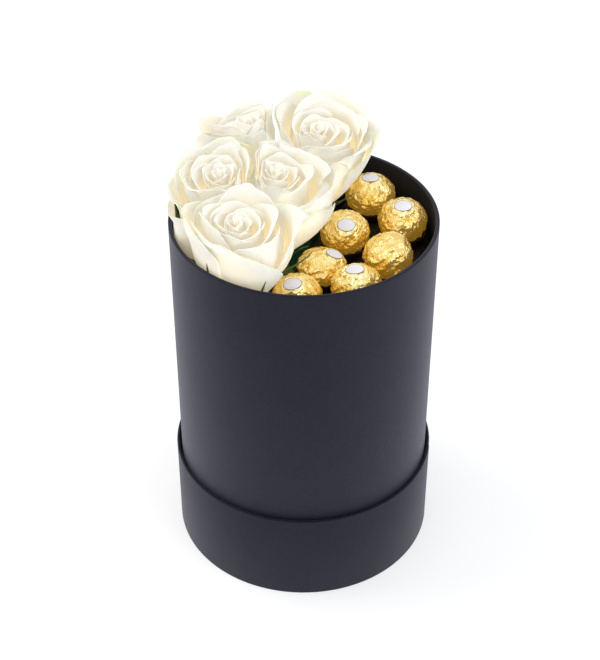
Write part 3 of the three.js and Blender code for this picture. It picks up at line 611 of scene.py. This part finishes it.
def petals_of(rose):
    """All petals of a rose, from the heart outwards, with what the formulas need."""
    petals = []
    for k in range(INNER_PETALS):
        t = k / (INNER_PETALS - 1)
        aside, up = (2 * scatter(rose["seed"] + k, draw) - 1 for draw in (1, 2))
        at = math.degrees(rose["turn"] + k * GOLDEN_ANGLE) + 20 * aside
        girth = 1.5 + (rose["cup"] - 1.5) * t ** 1.3
        height = rose["height"] * (0.985 + 0.015 * t) + 2.4 * t * up - 1.6 * math.sin(math.pi * t)
        own = dict(index=k, at=at, girth=girth, top=girth * (0.6 + 0.34 * t), height=height)
        petals.append(own | changed(INNER_CHANGES, t) | INNER_ALIKE)
    for k, given in enumerate(rose["outer"]):
        t = k / (len(rose["outer"]) - 1)
        petals.append(dict(index=FIRST_OUTER + k) | changed(OUTER_CHANGES, t) | OUTER_ALIKE | given)
    for petal in petals:
        big = min(1, petal["girth"] / 26)
        draws = [scatter(3 * rose["seed"] + petal["index"], draw) for draw in (5, 6, 7, 8)]
        petal["root"] = 1 + 4.5 * min(1, petal["girth"] / 30)
        petal["wave"] = (0.2 + 0.55 * big, 0.15 + 0.4 * big, 0.3 + 1.2 * big)
        petal["phase"] = [2 * math.pi * draw for draw in draws]
    return petals


def set_attribute(obj, name, values):
    layer = obj.data.attributes.new(name, "FLOAT", "POINT")
    layer.data.foreach_set("value", np.asarray(values, dtype=np.float32))


def blade(across, up, shape):
    """A grid primitive whose points are moved by shape(u, v); returns it with u and v of its points."""
    deselect_all()
    bpy.ops.mesh.primitive_grid_add(x_subdivisions=across, y_subdivisions=up, size=2)
    made = bpy.context.object
    flat = points_of(made)
    u, v = flat[:, 0], (flat[:, 1] + 1) / 2
    put_points(made, shape(u, v))
    return made, u, v


def apply_modifier(obj, kind, **settings):
    bpy.context.view_layer.objects.active = obj
    modifier = obj.modifiers.new(kind.title(), kind)
    for key, value in settings.items():
        setattr(modifier, key, value)
    bpy.ops.object.modifier_apply(modifier=modifier.name)


def join(pieces, name):
    deselect_all()
    for piece in pieces:
        piece.select_set(True)
    bpy.context.view_layer.objects.active = pieces[0]
    bpy.ops.object.join()
    pieces[0].name = name
    return pieces[0]


CREAM = (0.70, 0.69, 0.64, 1)
CREAM_OLD = (0.62, 0.63, 0.60, 1)
# Warmer cream: painted warm shade in the pockets between petals
CREAM_PAINTED_SHADE = (0.72, 0.69, 0.57, 1)
GREEN_TINGE = (0.62, 0.66, 0.36, 1)
# The petals' painted glow: faint at the lips, warm deep between petals
GLOW = (0.36, 0.335, 0.285, 1)
GLOW_DEEP = (1.0, 0.82, 0.51, 1)


def petal_finish():
    """Cream petals that light shines through, with painted warm shade low on faces that look into the
    bloom, a faint painted glow that is warmest deep between petals, greener at the lips of the oldest,
    and faint veins up the blade."""
    # A faint glow all over the petals is painted light, standing in for the light they pass to each other
    made, tree, shader = finish("rose_petal", Roughness=0.5, Specular_IOR_Level=0.3, Subsurface_Weight=1.0,
                                Subsurface_Radius=(1.0, 0.9, 0.75), Subsurface_Scale=1.6 * MM,
                                Emission_Strength=0.29)
    shader.subsurface_method = "BURLEY"
    place = on_piece(tree)
    rise, side, age, inside = (
        node(tree, "ShaderNodeAttribute", attribute_name=name).outputs["Fac"]
        for name in ("rise", "side", "age", "inside"))
    # Painted warm shade low on faces that look into the bloom, where the painted glow is warmest too
    pocket = ramp(tree, inside, 0.0, 1.0, 0.3, 1.0)
    low = maths(tree, "MULTIPLY", ramp(tree, rise, 0.35, 0.88, 1.0, 0.0, "SMOOTHSTEP"), pocket)
    deep = maths(tree, "MULTIPLY", ramp(tree, rise, 0.5, 0.96, 1.0, 0.0, "SMOOTHSTEP"), pocket)
    old_lip = maths(tree, "MULTIPLY", ramp(tree, rise, 0.78, 1.0), ramp(tree, age, 0.62, 1.0))
    patch = ramp(tree, noise(tree, place, Scale=55.0, Detail=2.0), 0.44, 0.62)
    green = maths(tree, "MULTIPLY", old_lip, patch)
    cream = blend(tree, low, blend(tree, age, CREAM, CREAM_OLD), CREAM_PAINTED_SHADE)
    tree.links.new(blend(tree, deep, GLOW, GLOW_DEEP), shader.inputs["Emission Color"])
    fan = node(tree, "ShaderNodeCombineXYZ", {0: side, 1: rise})
    drawn = node(tree, "ShaderNodeMapping", {0: fan.outputs[0]}, Scale=(26, 2.2, 1))
    veins = noise(tree, drawn.outputs[0], Scale=1.0, Detail=3.0)
    soft = noise(tree, place, Scale=150.0, Detail=3.0)
    skin = node(tree, "ShaderNodeMath", {0: soft, 2: veins}, operation="MULTIPLY_ADD", i1=2.0)
    paint(tree, shader, blend(tree, green, cream, GREEN_TINGE), skin.outputs[0], 0.4, 0.6 * MM)
    return made


ROSE_PETAL = petal_finish()


def petal_blade(rose, petal):
    """One petal, its rows closer together towards the lip, with what its finish reads."""

    def shape(u, v):
        return settle(petal_points(petal, u, 1 - (1 - v) ** 1.5), rose) * MM

    made, u, v = blade(*petal["cells"], shape)
    set_attribute(made, "rise", v)
    set_attribute(made, "side", u + petal["index"] * 3.7)
    set_attribute(made, "age", np.full(len(u), petal["age"]))
    return made


def mark_inside(flower, rose):
    """Marks from 0 to 1 how far each point of a bloom faces its axis, where the petals' painted shade
    falls.
    """
    places = points_of(flower)
    inward = axis_at(rose, places[:, 2] / MM) * MM - places
    facing = np.empty(len(inward) * 3)
    flower.data.vertices.foreach_get("normal", facing)
    facing = (facing.reshape(-1, 3) * inward).sum(1) / np.maximum(np.linalg.norm(inward, axis=1), 1e-6)
    set_attribute(flower, "inside", np.clip(0.35 + 0.9 * facing, 0, 1))


def bloom(rose):
    blades = [petal_blade(rose, petal) for petal in petals_of(rose)]
    flower = join(blades, f"rose_{rose['name']}")
    apply_modifier(flower, "SOLIDIFY", thickness=PETAL_THICKNESS * MM, offset=0)
    apply_modifier(flower, "SUBSURF", levels=1, render_levels=1)
    bpy.ops.object.shade_smooth()
    mark_inside(flower, rose)
    flower.data.materials.clear()
    flower.data.materials.append(ROSE_PETAL)
    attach(flower, "root")
    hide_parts(f"rose_{rose['name']}_bloom")


for rose in ROSES:
    bloom(rose)


# The stems
# Each rose's stem stands in the foam and swells to a calyx under the bloom, with five thin sepals that
# lie up along the outer petals and curl away at their tips. One stem carries a leaf.
STEM_RADIUS = 2.6
STEM_IN_FOAM = 45
SEPALS = 5
SEPAL_CLEAR = 3
SEPAL_REACH = 0.62
SEPAL_HALF_WIDTH = 2.4
SEPAL_THICKNESS = 0.4
LEAF_LINE = [(-17.6, 6, 189), (-15, -8, 197), (-11, -24, 198.5), (-6.2, -37, 206.5)]
LEAF_HALF_WIDTH = 4.8
LEAF_STALK = 0.3
LEAF_TEETH = 14
GREEN_DARK = (0.030, 0.075, 0.016, 1)
GREEN_LIGHT = (0.12, 0.19, 0.05, 1)

# The stem's top and the calyx, as radius and height over the bloom's foot
CALYX = [(STEM_RADIUS, -40), (STEM_RADIUS, -13), (3.4, -10.5), (4.9, -8), (5.1, -4.5), (6.0, -0.4)]


def green_finish():
    made, tree, shader = finish("rose_green", Roughness=0.5, Specular_IOR_Level=0.4, Subsurface_Weight=0.15,
                                Subsurface_Radius=(0.6, 1.0, 0.2), Subsurface_Scale=1.0 * MM)
    mottle = noise(tree, on_piece(tree), Scale=260.0, Detail=5.0)
    paint(tree, shader, blend(tree, mottle, GREEN_DARK, GREEN_LIGHT), mottle, 0.4, 0.3 * MM)
    return made


ROSE_GREEN = green_finish()


def sepal(rose, azimuth, reach):
    """A thin sepal that lies up a shell just outside the petals, its tip turned out."""
    girth = rose["girth"]
    shell = dict(root=4, rise=-2.4, girth=girth + SEPAL_CLEAR, top=girth + 8, height=rose["height"] * 0.9)

    def shape(u, v):
        outline = shell_point(shell, v * reach)
        half = SEPAL_HALF_WIDTH * np.sin(np.pi * np.minimum(1, 0.25 + 0.75 * v)) ** 0.8 + 0.12
        turn = math.radians(azimuth) + u * half / np.maximum(outline[:, 0], 4)
        curl = 20 * np.maximum(v - 0.75, 0) ** 1.5
        radius = outline[:, 0] + 0.5 * u * u + curl
        return settle(np.stack([radius * np.cos(turn), radius * np.sin(turn), outline[:, 1]], 1), rose) * MM

    return blade(4, 16, shape)[0]


def stem(rose):
    """A cylinder extruded up ring by ring, each ring then given its radius and height."""
    foam_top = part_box("floral_foam")[1].z / MM
    cut_end = -(rose["base"][2] - (foam_top - STEM_IN_FOAM)) / rose["axis"][2]
    levels = [(STEM_RADIUS, cut_end)] + CALYX
    deselect_all()
    bpy.ops.mesh.primitive_cylinder_add(vertices=20, radius=STEM_RADIUS, depth=1, end_fill_type="NGON")
    stalk = bpy.context.object
    bpy.ops.object.mode_set(mode="EDIT")
    for _ in levels[2:]:
        select_parts(stalk, faces=lambda face: face.normal.z > 0.9)
        bpy.ops.mesh.extrude_region_move(TRANSFORM_OT_translate={"value": (0, 0, 1)})
    bpy.ops.object.mode_set(mode="OBJECT")
    places = points_of(stalk)
    radius, height = np.array(levels)[np.rint(places[:, 2] + 0.5).astype(int)].T
    angle = np.arctan2(places[:, 1], places[:, 0])
    shaped = np.stack([radius * np.cos(angle), radius * np.sin(angle), height], 1)
    put_points(stalk, (shaped @ rose["turned"].T + rose["base"]) * MM)
    bpy.ops.object.shade_smooth_by_angle(angle=math.radians(50))
    return stalk


def leaf():
    """A toothed leaf, folded a little along its midrib, on a short stalk."""
    corners = np.array(LEAF_LINE, float)

    def shape(u, v):
        s = 1 - v
        ahead = np.stack([3 * s * s, 6 * s * v, 3 * v * v], 1) @ np.diff(corners, axis=0)
        across = np.cross(ahead, (0, 0, 1))
        across /= np.linalg.norm(across, axis=1)[:, None]
        round_out = np.sin(np.pi * np.clip((v - LEAF_STALK) / (1 - LEAF_STALK), 0, 1)) ** 0.8
        tooth = 1 - 0.16 * np.abs(u) ** 6 * (1 - (LEAF_TEETH * v) % 1)
        half = np.maximum(0.7, LEAF_HALF_WIDTH * round_out * tooth)
        folded = np.stack([0 * u, 0 * u, 0.9 * u * u], 1)
        return (cubic(corners, v) + across * (u * half)[:, None] + folded) * MM

    return blade(10, 84, shape)[0]


for rose in ROSES:
    blades = []
    for k in range(SEPALS):
        reach = rose.get("sepal_reach", SEPAL_REACH) + 0.12 * scatter(rose["seed"], k)
        blades.append(sepal(rose, rose["sepals"] + k * 360 / SEPALS, reach))
    if rose["name"] == "middle":
        blades.append(leaf())
    greens = join(blades, "greens")
    apply_modifier(greens, "SOLIDIFY", thickness=SEPAL_THICKNESS * MM, offset=0)
    apply_modifier(greens, "SUBSURF", levels=1, render_levels=1)
    bpy.ops.object.shade_smooth()
    whole = join([greens, stem(rose)], f"stem_{rose['name']}")
    whole.data.materials.clear()
    whole.data.materials.append(ROSE_GREEN)
    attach(whole, "root")
    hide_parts(f"rose_{rose['name']}_stem")


# The paper cups
# Small cups of dark brown glassine paper, one under each chocolate. Each is a disc whose edge is
# pressed up into pleats. They stand loose on the shelf.
CUP_PLEATS = 36
CUP_STEPS = 5
CUP_HEIGHT = 8.5
CUP_FOOT = SHELF_TOP + 0.45
CUP_FOOT_IN = 4.2
CUP_FLARE = 3.8
PLEAT_DEPTH = 0.45
CUP_THICKNESS = 0.14
CUP_BROWN = (0.018, 0.0085, 0.006, 1)
CUP_LIGHT = (0.045, 0.022, 0.015, 1)


def glassine():
    made, tree, shader = finish("brown_glassine", Roughness=0.42, Specular_IOR_Level=0.5)
    fibre = noise(tree, on_piece(tree), Scale=500.0, Detail=4.0)
    paint(tree, shader, blend(tree, fibre, CUP_BROWN, CUP_LIGHT), fibre, 0.2, 0.15 * MM)
    return made


BROWN_GLASSINE = glassine()


def paper_cup(name, x, y, radius, tall):
    """A disc whose edge is extruded up in steps, flared, pleated and thickened."""
    deselect_all()
    bpy.ops.mesh.primitive_circle_add(vertices=4 * CUP_PLEATS, radius=1, fill_type="NGON")
    cup = bpy.context.object
    bpy.ops.object.mode_set(mode="EDIT")
    select_parts(cup, edges=lambda edge: True)
    for _ in range(CUP_STEPS):
        bpy.ops.mesh.extrude_edges_move(TRANSFORM_OT_translate={"value": (0, 0, 1)})
    bpy.ops.object.mode_set(mode="OBJECT")
    places = points_of(cup)
    share = places[:, 2] / CUP_STEPS
    angle = np.arctan2(places[:, 1], places[:, 0])
    flare = (radius - CUP_FOOT_IN) + CUP_FLARE * share ** 0.8
    out = flare + PLEAT_DEPTH * share * np.cos(CUP_PLEATS * angle) - 0.5
    ragged = 0.25 * share * np.sin(5 * angle + radius)
    up = CUP_FOOT + (CUP_HEIGHT * share - 0.3 + ragged) * tall
    put_points(cup, np.stack([out * np.cos(angle) + x, out * np.sin(angle) + y, up], 1) * MM)
    apply_modifier(cup, "SOLIDIFY", thickness=CUP_THICKNESS * MM, offset=0)
    bpy.ops.object.shade_smooth_by_angle(angle=math.radians(50))
    cup.name = f"cup_{name}"
    cup.data.materials.append(BROWN_GLASSINE)
    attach(cup, "root")
    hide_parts(f"chocolate_{name}_cup")


for name, size in CHOCOLATES.items():
    paper_cup(name, *size)


# The foil wrappers
# Round chocolates in thin gold aluminium foil. The foil is drawn down from the label in folds and
# crushed into small flat facets, deepest low down.
LABEL_FACES = {
    "a": (-0.02, -0.07, 1), "b": (-0.03, -0.28, 0.96), "c": (0.03, -0.56, 0.83), "d": (0.45, 0.75, 0.48),
    "e": (0.48, 0.03, 0.88), "f": (-0.09, -0.07, 0.99), "g": (-0.2, -0.32, 0.93),
}
FOIL_OUT = 0.45
FOIL_FACETS = 100
FACET_DEPTH = 0.028
FOIL_FOLDS = 15
FOLD_DEPTH = 0.6
LABEL_GROUND = 0.84
LABEL_GROUND_EDGE = 0.09

# Straight creases in the mesh, as how many, waves from side to side, and depth in millimetres, and
# fine flat facets in the finish, as cells in a metre, steepness and turn
FOIL_CREASES = [(5, 2.8, 0.26), (5, 6.5, 0.11)]
FINE_FACETS = [(215.0, 0.40, (0.5, 0.3, 0.9)), (520.0, 0.26, (1.1, 0.8, 0.2))]
# The foil's colour runs from painted shade to painted light; its amber glow is painted light too
GOLD_PAINTED_SHADE = (0.82, 0.52, 0.08, 1)
GOLD_PAINTED_LIGHT = (1.0, 0.91, 0.48, 1)
GOLD_GLOW = (1.0, 0.52, 0.04, 1)


def gold_foil():
    # A faint amber glow all over is painted light, lifting the foil's dark parts
    made, tree, shader = finish("gold_foil", Metallic=0.8, Roughness=0.34,
                                Emission_Color=GOLD_GLOW, Emission_Strength=0.16)
    place = on_piece(tree)
    fine = node(tree, "ShaderNodeTexNoise", {"Vector": place}, Scale=220.0, Detail=2.0)
    shift = node(tree, "ShaderNodeVectorMath", {0: fine.outputs["Color"]}, operation="SCALE",
                 Scale=1.2 * MM)
    bent = node(tree, "ShaderNodeVectorMath", {0: place, 1: shift.outputs[0]}, operation="ADD")
    heights = []
    for cells, steep, turn in FINE_FACETS:
        turned = node(tree, "ShaderNodeMapping", {0: bent.outputs[0]}, Rotation=turn)
        facet = node(tree, "ShaderNodeTexVoronoi", {"Vector": turned.outputs[0]},
                     distance="CHEBYCHEV", Scale=cells)
        heights.append(maths(tree, "MULTIPLY", facet.outputs["Distance"], steep / cells))
    tone = node(tree, "ShaderNodeAttribute", attribute_name="tone").outputs["Fac"]
    paint(tree, shader, blend(tree, tone, GOLD_PAINTED_SHADE, GOLD_PAINTED_LIGHT), maths(tree, "ADD", *heights), 1.0, 1.0)
    tree.links.new(ramp(tree, fine.outputs["Fac"], 0.3, 0.7, 0.17, 0.32), shader.inputs["Roughness"])
    return made


GOLD_FOIL = gold_foil()


def faceted(way, seed):
    """How far out a ball of radius 1 stands when it is crushed to flat facets, spread by a golden spiral,
    and for each facet a random tone that paints its reflection lighter or darker."""
    flat = np.full(len(way), np.inf)
    tone = np.zeros(len(way))
    for k in range(FOIL_FACETS):
        height = 1 - (2 * k + 1) / FOIL_FACETS + 0.05 * (scatter(seed, k) - 0.5)
        turn = k * GOLDEN_ANGLE + 0.5 * scatter(seed + 31, k)
        ring = math.sqrt(max(0, 1 - height * height))
        across = way @ (ring * math.cos(turn), ring * math.sin(turn), height)
        depth = 1 - FACET_DEPTH * scatter(seed + 57, k)
        reach = np.where(across > 0.5, depth / np.maximum(across, 0.5), np.inf)
        tone = np.where(reach < flat, scatter(seed + 83, k), tone)
        flat = np.minimum(flat, reach)
    return flat, tone


def creases(way, seed):
    """Depth of the foil's creases in millimetres: straight folds that cross in all directions."""
    bent = way + 0.12 * np.sin(3.1 * way[:, [1, 2, 0]] + seed)
    depth = np.zeros(len(way))
    for layer, (count, waves, deep) in enumerate(FOIL_CREASES):
        for k in range(count):
            draws = [scatter(seed * 17 + layer * 5 + k, draw) for draw in range(4)]
            across = np.array([2 * draw - 1 for draw in draws[:3]])
            turn = bent @ across / np.linalg.norm(across) * waves + draws[3]
            depth += deep * 2 * np.abs(turn - np.floor(turn + 0.5))
    return depth


def foil_ball(name, x, y, radius, tall, face, seed):
    """A fine ball, crushed to facets, creased and folded, and left smooth where its label is stuck."""
    deselect_all()
    bpy.ops.mesh.primitive_ico_sphere_add(subdivisions=6, radius=1)
    ball = bpy.context.object
    way = points_of(ball)
    way /= np.linalg.norm(way, axis=1)[:, None]
    facing = np.array(face) / np.linalg.norm(face)
    near_label = np.clip(((way @ facing) - LABEL_GROUND) / LABEL_GROUND_EDGE, 0, 1)
    rough = 1 - near_label * near_label * (3 - 2 * near_label)
    low = np.clip(0.55 - 0.45 * way[:, 2], 0.35, 1)
    turn = FOIL_FOLDS * np.arctan2(way[:, 1], way[:, 0]) / 2 + 2 * np.sin(3 * way[:, 2] + seed)
    folds = FOLD_DEPTH * np.abs(np.sin(turn)) * low
    depth = (creases(way, seed) * (0.6 + 0.6 * low) + folds) * rough
    flat, tone = faceted(way, seed)
    crushed = 1 + (np.minimum(flat, 1.01) - 1) * rough
    out = ((radius + FOIL_OUT) * crushed - depth)[:, None] * way * (1, 1, tall)
    put_points(ball, (out + chocolate_middle(x, y, radius, tall)) * MM)
    # The tone is painted light: darker gold in the creases, lighter on top, a painted reflection per facet
    set_attribute(ball, "tone", np.clip(0.1 + 0.5 * tone + 0.6 * (0.7 - depth) + 0.4 * way[:, 2], 0, 1))
    bpy.ops.object.shade_smooth_by_angle(angle=math.radians(20))
    ball.name = f"foil_{name}"
    ball.data.materials.append(GOLD_FOIL)
    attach(ball, "root")
    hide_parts(f"chocolate_{name}_foil")


for k, (name, size) in enumerate(CHOCOLATES.items()):
    foil_ball(name, *size, LABEL_FACES[name], k + 1)


# The labels
# A bare oval of white coated paper for each wrapper, with a thin line round its edge, mottled from dark
# brown to dark gold. It is stuck on top, or on the side where the chocolate lies turned.
LABEL_HALF = (5.1, 3.95)
LABEL_OUT = 0.62
LABEL_THICKNESS = 0.16
LABEL_INSETS = (0.055, 0.2, 0.2, 0.2)
WHITE_GREY = (0.80, 0.77, 0.78, 1)
WHITE = (0.90, 0.88, 0.89, 1)
LINE_DARK = (0.10, 0.055, 0.02, 1)
LINE_GOLD = (0.30, 0.18, 0.06, 1)


def label_paper():
    made, tree, shader = finish("label_paper", Roughness=0.38, Specular_IOR_Level=0.5)
    tone = noise(tree, on_piece(tree), Scale=300.0, Detail=3.0)
    paint(tree, shader, blend(tree, tone, WHITE_GREY, WHITE))
    return made


def label_line():
    made, tree, shader = finish("label_line", Roughness=0.35, Metallic=0.7)
    tone = noise(tree, on_piece(tree), Scale=900.0)
    paint(tree, shader, blend(tree, tone, LINE_DARK, LINE_GOLD))
    return made


LABEL_PAPER, LABEL_LINE = label_paper(), label_line()


def label(name, x, y, radius, tall, face):
    """A filled circle, inset for its line and again for its middle, laid on the ball and thickened."""
    deselect_all()
    bpy.ops.mesh.primitive_circle_add(vertices=64, radius=1, fill_type="TRIFAN")
    oval = bpy.context.object
    bpy.ops.object.mode_set(mode="EDIT")
    bpy.ops.mesh.select_all(action="SELECT")
    for width in LABEL_INSETS:
        bpy.ops.mesh.inset(thickness=width)
    bpy.ops.object.mode_set(mode="OBJECT")
    flat = points_of(oval)
    up = np.concatenate([flat[:, :2] * LABEL_HALF, np.full((len(flat), 1), radius)], 1)
    way = up / np.linalg.norm(up, axis=1)[:, None] * (radius + LABEL_OUT)
    turned = np.array(Vector((0, 0, 1)).rotation_difference(Vector(face)).to_matrix())
    put_points(oval, (way @ turned.T * (1, 1, tall) + chocolate_middle(x, y, radius, tall)) * MM)
    oval.data.materials.append(LABEL_PAPER)
    oval.data.materials.append(LABEL_LINE)
    edge = np.linalg.norm(flat[:, :2], axis=1) > 0.95
    for part in oval.data.polygons:
        part.material_index = int(any(edge[v] for v in part.vertices))
    apply_modifier(oval, "SOLIDIFY", thickness=LABEL_THICKNESS * MM, offset=1)
    bpy.ops.object.shade_smooth_by_angle(angle=math.radians(40))
    oval.name = f"label_{name}"
    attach(oval, "root")
    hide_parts(f"chocolate_{name}_label")


for name, size in CHOCOLATES.items():
    label(name, *size, LABEL_FACES[name])


# The studio
# A wide pale floor that glows a little, an even white sky, and two large soft lights: a white one at
# the left, and a slightly blue one at the right front. The camera looks down as the photograph does.

# In metres and radians, but for the focal length and the picture's height in pixels, and the sensor
CAMERA_AT = (0, -0.68663, 0.68090)
CAMERA_PITCH = 0.6671
CAMERA_YAW = -0.0030
FOCAL_PIXELS = 1495.97
FRAME_HEIGHT = 660
SENSOR_WIDTH = 36
FLOOR_SIZE = 6
FLOOR_GREY = (0.56, 0.56, 0.56, 1)
WHITE_LIGHT = (1, 1, 1, 1)
SKY_STRENGTH = 0.83
LIGHT_SIZE = 0.8
LIGHT_AIM = (0, 0, 0.15)

deselect_all()
bpy.ops.mesh.primitive_plane_add(size=FLOOR_SIZE)
floor = bpy.context.object
floor.name = "floor"
WHITE_FLOOR = finish("white_floor", Roughness=0.9, Specular_IOR_Level=0.1, Base_Color=FLOOR_GREY,
                     Emission_Color=WHITE_LIGHT, Emission_Strength=0.5)[0]
floor.data.materials.append(WHITE_FLOOR)

world = bpy.data.worlds.new("white_sky")
bpy.context.scene.world = world
world.use_nodes = True
sky = world.node_tree.nodes["Background"]
sky.inputs["Color"].default_value = WHITE_LIGHT
sky.inputs["Strength"].default_value = SKY_STRENGTH


def soft_light(name, at, power, colour):
    bpy.ops.object.light_add(type="AREA", location=at)
    lamp = bpy.context.object
    lamp.name = name
    lamp.data.size = LIGHT_SIZE
    lamp.data.energy = power
    lamp.data.color = colour
    lamp.rotation_euler = (Vector(LIGHT_AIM) - Vector(at)).to_track_quat("-Z", "Y").to_euler()


soft_light("key_light", (-0.85, 0.2, 0.95), 5.4, (1, 1, 1))
soft_light("fill_light", (0.8, -0.75, 0.6), 6, (0.78, 0.85, 1))

bpy.ops.object.camera_add(location=CAMERA_AT, rotation=(math.pi / 2 - CAMERA_PITCH, 0, -CAMERA_YAW))
camera = bpy.context.object
camera.data.sensor_width = SENSOR_WIDTH
camera.data.lens = FOCAL_PIXELS * SENSOR_WIDTH / FRAME_HEIGHT
bpy.context.scene.camera = camera
bpy.context.scene.view_settings.view_transform = "Standard"
